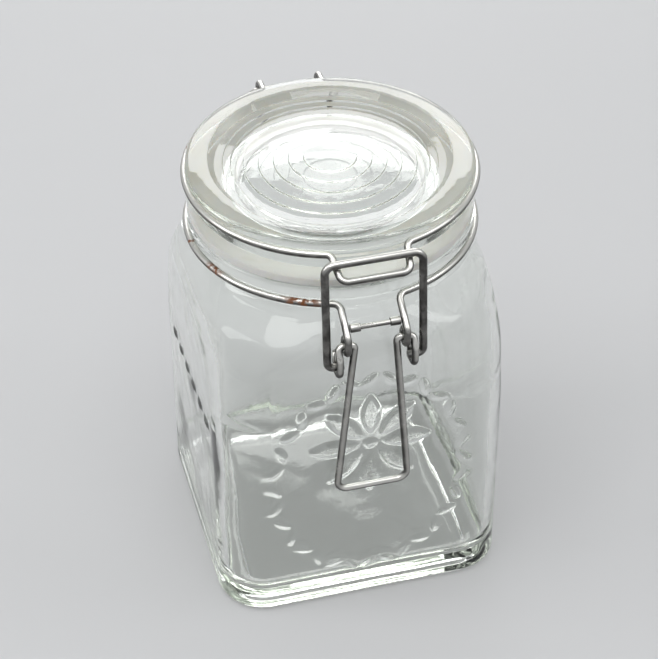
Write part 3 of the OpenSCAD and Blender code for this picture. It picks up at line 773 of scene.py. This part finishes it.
class Nodes:
    """A shader tree under construction."""

    def __init__(self, tree):
        self.tree = tree

    def feed(self, node, inputs):
        """Links a node's sockets to other sockets, or sets them to plain values."""
        for label, value in inputs.items():
            if isinstance(value, bpy.types.NodeSocket):
                self.tree.links.new(value, node.inputs[label])
            else:
                node.inputs[label].default_value = value

    def add(self, kind, inputs=None, **settings):
        """A new node with its settings and its sockets' values."""
        node = self.tree.nodes.new(kind)
        for key, value in settings.items():
            setattr(node, key, value)
        self.feed(node, inputs or {})
        return node

    def math(self, operation, first, second):
        """Two numbers joined by an operation."""
        return self.add("ShaderNodeMath", {0: first, 1: second}, operation=operation).outputs[0]

    def blend(self, factor, low, high):
        """Two colours, or colour outputs, mixed by a mask."""
        low, high = (c if isinstance(c, bpy.types.NodeSocket) else (*c, 1) for c in (low, high))
        node = self.add("ShaderNodeMix", data_type="RGBA",
                        inputs={"Factor": factor, MIX_LOW: low, MIX_HIGH: high})
        return node.outputs[MIX_RESULT]

    def ramp(self, source, low, high, start=0.0, end=1.0):
        """A number between start and end spread over another range."""
        return self.add("ShaderNodeMapRange", {"Value": source, "From Min": start, "From Max": end,
                                               "To Min": low, "To Max": high}).outputs["Result"]

    def seen_directly(self):
        """One for a ray of the camera, a reflection or the glass, nought for one that lights a surface."""
        path = self.add("ShaderNodeLightPath").outputs
        seen = self.math("MAXIMUM", path["Is Camera Ray"], path["Is Glossy Ray"])
        return self.math("MAXIMUM", seen, path["Is Transmission Ray"])


def node_group(name, inputs, output, build):
    """A shared shader node group with number inputs and one output, built on its first use."""
    if name not in bpy.data.node_groups:
        group = bpy.data.node_groups.new(name, "ShaderNodeTree")
        group.interface.new_socket("Vector", in_out="INPUT", socket_type="NodeSocketVector")
        for label in inputs:
            group.interface.new_socket(label, in_out="INPUT", socket_type="NodeSocketFloat")
        group.interface.new_socket(output, in_out="OUTPUT", socket_type="NodeSocketFloat")
        nodes = Nodes(group)
        result = build(nodes, nodes.add("NodeGroupInput").outputs)
        nodes.add("NodeGroupOutput", {output: result})
    return bpy.data.node_groups[name]


def build_patches(nodes, given):
    """Soft-edged patches: where the noise is over a level."""
    texture = nodes.add("ShaderNodeTexNoise", {"Vector": given["Vector"], "Scale": given["Scale"],
                                               "Detail": 5, "Roughness": 0.62})
    above = nodes.math("ADD", given["Level"], given["Softness"])
    level = nodes.add("ShaderNodeMapRange", {"Value": texture.outputs["Fac"], "From Min": given["Level"],
                                             "From Max": above}, interpolation_type="SMOOTHSTEP")
    return level.outputs["Result"]


def build_surface(nodes, given):
    """Fine unevenness of a surface: a slow swell with small pits, as a height."""
    swell, pits = (nodes.add("ShaderNodeTexNoise", {"Vector": given["Vector"], "Scale": given[scale],
                                                    "Detail": detail}).outputs["Fac"]
                   for scale, detail in (("Swell Scale", 2), ("Pit Scale", 3)))
    return nodes.add("ShaderNodeMix", {"Factor": given["Pit Share"], "A": swell, "B": pits}).outputs[0]


class Finish(Nodes):
    """A material under construction, with its shader and object coordinates."""

    def __init__(self, name):
        self.material = bpy.data.materials.new(name)
        self.material.use_nodes = True
        super().__init__(self.material.node_tree)
        self.shader = self.tree.nodes["Principled BSDF"]
        self.place = self.add("ShaderNodeTexCoord").outputs["Object"]

    def surface(self, **inputs):
        """Feeds the shader's own sockets, or sets them to plain values."""
        self.feed(self.shader, {label.replace("_", " "): value for label, value in inputs.items()})

    def group(self, name, output, build, inputs):
        """Places a shared node group with its own values."""
        node = self.add("ShaderNodeGroup", {"Vector": self.place, **inputs},
                        node_tree=node_group(name, inputs, output, build))
        return node.outputs[output]

    def patches(self, scale, level, softness):
        """A mask of soft-edged patches."""
        inputs = {"Scale": scale, "Level": level, "Softness": softness}
        return self.group("Patches", "Mask", build_patches, inputs)

    def uneven(self, depth, swell_scale, pit_scale, pit_share):
        """The normal of a surface with a slow swell and small pits."""
        inputs = {"Swell Scale": swell_scale, "Pit Scale": pit_scale, "Pit Share": pit_share}
        height = self.group("Surface", "Height", build_surface, inputs)
        return self.add("ShaderNodeBump", {"Distance": depth, "Height": height}).outputs["Normal"]

    def away(self, spot):
        """Distance from a place on the piece."""
        node = self.add("ShaderNodeVectorMath", {0: self.place, 1: spot}, operation="DISTANCE")
        return node.outputs["Value"]

    def attribute(self, name):
        """A number that the mesh holds for each of its points."""
        return self.add("ShaderNodeAttribute", attribute_name=name).outputs["Fac"]


def clear_glass(name, finishes, swell_scale, swell_depth):
    """Moulded clear glass: slightly uneven, faintly marked, stippled where raised, green where deep."""
    f = Finish(name)
    marks = f.ramp(f.patches(scale=90, level=0.56, softness=0.2), 0.0, 0.06)
    stipple = f.ramp(f.patches(scale=1100, level=0.35, softness=0.3), 0.10, 0.30)
    rough = f.math("MAXIMUM", marks, f.math("MULTIPLY", f.attribute("raised"), stipple))
    f.surface(Base_Color=(*finishes.glass, 1), Metallic=0, IOR=1.5, Transmission_Weight=1, Roughness=rough,
              Normal=f.uneven(swell_depth, swell_scale, pit_scale=700, pit_share=0.04))
    depth = f.add("ShaderNodeVolumeAbsorption", {"Color": (*finishes.glass_depth, 1), "Density": 7})
    passing = f.add("ShaderNodeBsdfTransparent", {"Color": (*finishes.glass_shadow, 1)})
    shadow = f.add("ShaderNodeLightPath").outputs["Is Shadow Ray"]
    either = f.add("ShaderNodeMixShader", {0: shadow, 1: f.shader.outputs[0], 2: passing.outputs[0]})
    f.feed(f.tree.nodes["Material Output"], {"Volume": depth.outputs[0], "Surface": either.outputs[0]})
    return f.material


def cream_rubber(finishes):
    """Pale rubber, a little yellowed in patches, smooth and slightly see-through at its edges."""
    f = Finish("Cream_Rubber")
    stain = f.patches(scale=60, level=0.5, softness=0.25)
    f.surface(Base_Color=f.blend(stain, finishes.rubber, finishes.rubber_stain),
              Roughness=f.ramp(stain, 0.38, 0.55),
              Subsurface_Weight=0.25, Subsurface_Scale=0.002, Subsurface_Radius=(1, 0.8, 0.5),
              Normal=f.uneven(0.15 * MM, swell_scale=120, pit_scale=1500, pit_share=0.3))
    return f.material


def dull_steel(name, finishes, rust_level, rust_spots=()):
    """Galvanised steel wire gone dull, worn bright where handled, with a painted highlight on its tops and
    rust around the given spots.
    """
    f = Finish(name)
    patchy = f.patches(scale=170, level=0.36, softness=0.34)
    # painted highlight on the wires' tops, mixed with real wear where handled
    bright = f.ramp(f.attribute("wear_and_highlight"), 0.0, 1.0, 0.42, 0.85)
    rusty = f.patches(scale=75, level=rust_level, softness=0.05)
    for spot, reach in rust_spots:
        near = f.ramp(f.away(spot), 1.0, 0.0, reach * 0.4, reach)
        grain = f.patches(scale=420, level=0.40, softness=0.16)
        rusty = f.math("MAXIMUM", rusty, f.math("MULTIPLY", near, grain))
    dull = f.blend(patchy, finishes.steel_dark, finishes.steel_pale)
    metal = f.blend(bright, dull, finishes.steel_worn_and_highlight)
    f.surface(Base_Color=f.blend(rusty, metal, finishes.rust),
              Roughness=f.math("MAXIMUM", f.ramp(patchy, 0.36, 0.26), f.ramp(rusty, 0.0, 0.85)),
              Metallic=f.ramp(rusty, 0.95, 0.1),
              Normal=f.uneven(0.05 * MM, swell_scale=420, pit_scale=2600, pit_share=0.5))
    return f.material


# ---------- operators


class STORAGEJAR_OT_jar(bpy.types.Operator):
    """Build the square glass jar with its raised pattern"""

    bl_idname = "storage_jar.jar"
    bl_label = "Glass Jar"

    def execute(self, context):
        s = context.scene
        glass = clear_glass("Jar_Glass", s.jar_finishes, 35, 0.25 * MM)
        mesh = jar_mesh(s.jar_sizes, s.jar_relief)
        add_piece("Glass_Jar", mesh, glass, "jar", "jar_glass", "glass_jar")
        return {"FINISHED"}


class STORAGEJAR_OT_lid(bpy.types.Operator):
    """Build the glass lid with its stepped well and plug"""

    bl_idname = "storage_jar.lid"
    bl_label = "Glass Lid"

    def execute(self, context):
        s = context.scene
        glass = clear_glass("Lid_Glass", s.jar_finishes, 60, 0.12 * MM)
        mesh = lid_mesh(s.jar_lid, s.jar_wires)
        add_piece("Glass_Lid", mesh, glass, "lid", "lid_glass", "glass_lid")
        return {"FINISHED"}


class STORAGEJAR_OT_sealing_ring(bpy.types.Operator):
    """Build the flat rubber ring between the lid and the rim"""

    bl_idname = "storage_jar.sealing_ring"
    bl_label = "Sealing Ring"

    def execute(self, context):
        s = context.scene
        rubber = cream_rubber(s.jar_finishes)
        add_piece("Sealing_Ring", ring_mesh(s.jar_lid), rubber, "lid", "seal_rubber", "sealing_ring")
        return {"FINISHED"}


# Rust spots of the neck wire: the place and the reach of each
RUST_SPOTS = (((-0.022, -0.0455, 0.138), 9 * MM), ((-0.046, -0.021, 0.138), 5 * MM))


class STORAGEJAR_OT_ring_wires(bpy.types.Operator):
    """Build the wires around the lid and the neck, with the tie bar"""

    bl_idname = "storage_jar.ring_wires"
    bl_label = "Ring Wires"

    def execute(self, context):
        s = context.scene
        w = s.jar_wires
        clean = dull_steel("Lid_Wire_Steel", s.jar_finishes, 0.66)
        rusty = dull_steel("Neck_Wire_Steel", s.jar_finishes, 0.66, RUST_SPOTS)
        add_piece("Lid_Wire", lid_wire_mesh(w), clean, "lid", "wire", "lid_wire")
        add_piece("Neck_Wire", neck_wire_mesh(w), rusty, "jar", "wire", "neck_wire")
        add_piece("Neck_Wire_Tie", tie_mesh(w), rusty, "jar", "wire", "neck_wire_tie")
        return {"FINISHED"}


class STORAGEJAR_OT_clamp(bpy.types.Operator):
    """Build the lever and the bail that it pulls down"""

    bl_idname = "storage_jar.clamp"
    bl_label = "Clamp"

    def execute(self, context):
        s = context.scene
        steel = dull_steel("Clamp_Steel", s.jar_finishes, 0.68)
        add_piece("Lever", lever_mesh(s.jar_wires), steel, "lever", "wire", "lever")
        add_piece("Bail", bail_mesh(s.jar_wires), steel, "bail", "wire", "bail")
        return {"FINISHED"}


# ---------- stage

FLOOR_FRONT, FLOOR_BACK, FLOOR_HALF_WIDTH = 3.6, 1.5, 3.4  # how far the floor reaches, in metres
BACKDROP_HEIGHT, BACKDROP_BEND = 1.8, 0.7
FLOOR_DROP = 0.02 * MM  # how far the floor lies below the jar's foot
LAMP_AIM = Vector((0, 0, 0.08))
LAMPS = (  # name, azimuth and height in degrees, distance, width and depth in metres, power in watts
    ("Back_Lamp", 165, 27, 1.3, 0.9, 0.55, 7.0),
    ("Left_Lamp", -95, 35, 1.1, 0.45, 0.8, 3.0),
    ("Right_Lamp", 70, 40, 1.2, 0.45, 0.7, 2.6),
    ("Top_Lamp", -30, 72, 1.3, 1.0, 0.8, 8.0),
)


def towards(azimuth, elevation):
    """The direction from the jar towards a place around and above it."""
    return Vector((math.sin(azimuth) * math.cos(elevation), -math.cos(azimuth) * math.cos(elevation),
                   math.sin(elevation)))


def floor_paper(settings):
    """Matt pale paper with a faint mottling, which stays pale where the lamps don't reach."""
    f = Finish("Floor_Paper")
    tone = f.patches(scale=3, level=0.3, softness=0.5)
    dim = [c * 0.985 for c in settings.floor]
    far = f.ramp(f.away((0, 0, 0)), 0.0, settings.far_glow, 0.6, 2.8)
    f.surface(Base_Color=f.blend(tone, dim, settings.floor), Roughness=0.85, Specular_IOR_Level=0.2,
              Emission_Color=(*settings.floor, 1),
              Emission_Strength=f.math("MULTIPLY", far, f.seen_directly()))
    return f.material


def add_floor(settings):
    """The floor, which bends up into a backdrop."""
    bm = bmesh.new()
    corners = at_x(0, (-FLOOR_FRONT, 0, 0), (FLOOR_BACK, 0, BACKDROP_BEND), (FLOOR_BACK, BACKDROP_HEIGHT, 0))
    left = Vector((-FLOOR_HALF_WIDTH, 0, -FLOOR_DROP))
    _, edges = chain(bm, [p + left for p in rounded_path(corners, 6)])
    drawn = bmesh.ops.extrude_edge_only(bm, edges=edges)["geom"]
    bmesh.ops.translate(bm, vec=(2 * FLOOR_HALF_WIDTH, 0, 0),
                        verts=[v for v in drawn if isinstance(v, bmesh.types.BMVert)])
    mesh = mesh_from(bm, "Floor")
    mesh.materials.append(floor_paper(settings))
    add_object("Floor", mesh)


def add_lamp(name, azimuth, elevation, distance, width, depth, power):
    """A soft square lamp that looks at the jar."""
    back = towards(math.radians(azimuth), math.radians(elevation))
    light = bpy.data.lights.new(name, "AREA")
    light.shape = "RECTANGLE"
    light.size, light.size_y = width, depth
    light.energy = power
    lamp = add_object(name, light)
    lamp.visible_camera = False
    lamp.matrix_world = (Matrix.Translation(LAMP_AIM + back * distance)
                         @ back.to_track_quat("Z", "Y").to_matrix().to_4x4())


def add_surroundings(settings):
    """Even surroundings, a little brighter overhead, that light the scene less than they show."""
    world = bpy.data.worlds.new("Surroundings")
    world.use_nodes = True
    w = Nodes(world.node_tree)
    direction = w.add("ShaderNodeTexCoord").outputs["Generated"]
    height = w.add("ShaderNodeSeparateXYZ", {0: direction}).outputs["Z"]
    w.feed(w.tree.nodes["Background"], {"Color": w.blend(height, settings.room_low, settings.room_high),
                                        "Strength": w.ramp(w.seen_directly(), settings.room_light, 1.0)})
    bpy.context.scene.world = world


def add_camera(settings):
    """The camera at its set place around the jar."""
    back = towards(settings.azimuth, settings.elevation)
    right = Vector((math.cos(settings.azimuth), math.sin(settings.azimuth), 0))
    up = back.cross(right)
    c, s = math.cos(settings.roll), math.sin(settings.roll)
    axes = Matrix((right * c + up * s, up * c - right * s, back)).transposed().to_4x4()
    lens = bpy.data.cameras.new("Camera")
    lens.lens = settings.lens
    lens.sensor_width = 36
    lens.clip_end = 20
    camera = add_object("Camera", lens)
    camera.matrix_world = Matrix.Translation(settings.aim + back * settings.distance) @ axes
    bpy.context.scene.camera = camera


class STORAGEJAR_OT_stage(bpy.types.Operator):
    """Set up the floor, the lamps, the surroundings and the camera"""

    bl_idname = "storage_jar.stage"
    bl_label = "Stage"

    def execute(self, context):
        settings = context.scene.jar_stage
        add_floor(settings)
        for lamp in LAMPS:
            add_lamp(*lamp)
        add_surroundings(settings)
        add_camera(settings)
        context.scene.view_settings.view_transform = "Standard"
        cycles = context.scene.cycles
        cycles.caustics_refractive = cycles.caustics_reflective = False
        cycles.max_bounces = cycles.transmission_bounces = 24
        cycles.glossy_bounces = 16
        return {"FINISHED"}


class STORAGEJAR_PT_panel(bpy.types.Panel):
    """Lists the jar's pieces and their sizes"""

    bl_idname = "STORAGEJAR_PT_panel"
    bl_label = "Storage Jar"
    bl_space_type = "VIEW_3D"
    bl_region_type = "UI"
    bl_category = "Storage Jar"

    def draw(self, context):
        for label, operators, groups in PANEL_ROWS:
            box = self.layout.box()
            box.label(text=label)
            for operator in operators:
                box.operator(operator.bl_idname)
            for name, group in groups.items():
                for key in group.__annotations__:
                    box.prop(getattr(context.scene, name), key)


PANEL_ROWS = (
    ("Jar", (STORAGEJAR_OT_jar,), {"jar_sizes": JarSizes, "jar_relief": ReliefSizes}),
    ("Lid", (STORAGEJAR_OT_lid, STORAGEJAR_OT_sealing_ring), {"jar_lid": LidSizes}),
    ("Wires", (STORAGEJAR_OT_ring_wires, STORAGEJAR_OT_clamp), {"jar_wires": WireSizes}),
    ("Finish", (), {"jar_finishes": Finishes}),
    ("Stage", (STORAGEJAR_OT_stage,), {"jar_stage": StageSettings}),
)
GROUPS = {name: group for row in PANEL_ROWS for name, group in row[2].items()}
OPERATORS = [operator for row in PANEL_ROWS for operator in row[1]]
CLASSES = (*GROUPS.values(), *OPERATORS, STORAGEJAR_PT_panel)


def register():
    """Adds the settings, the operators and the panel."""
    for cls in CLASSES:
        bpy.utils.register_class(cls)
    for name, group in GROUPS.items():
        setattr(bpy.types.Scene, name, PointerProperty(type=group))


def unregister():
    """Takes away what register added."""
    for name in GROUPS:
        delattr(bpy.types.Scene, name)
    for cls in reversed(CLASSES):
        bpy.utils.unregister_class(cls)


def main():
    """Builds every piece and the stage."""
    register()
    bpy.ops.storage_jar.stage()
    bpy.ops.storage_jar.jar()
    bpy.ops.storage_jar.lid()
    bpy.ops.storage_jar.sealing_ring()
    bpy.ops.storage_jar.ring_wires()
    bpy.ops.storage_jar.clamp()


if __name__ == "__main__":
    main()
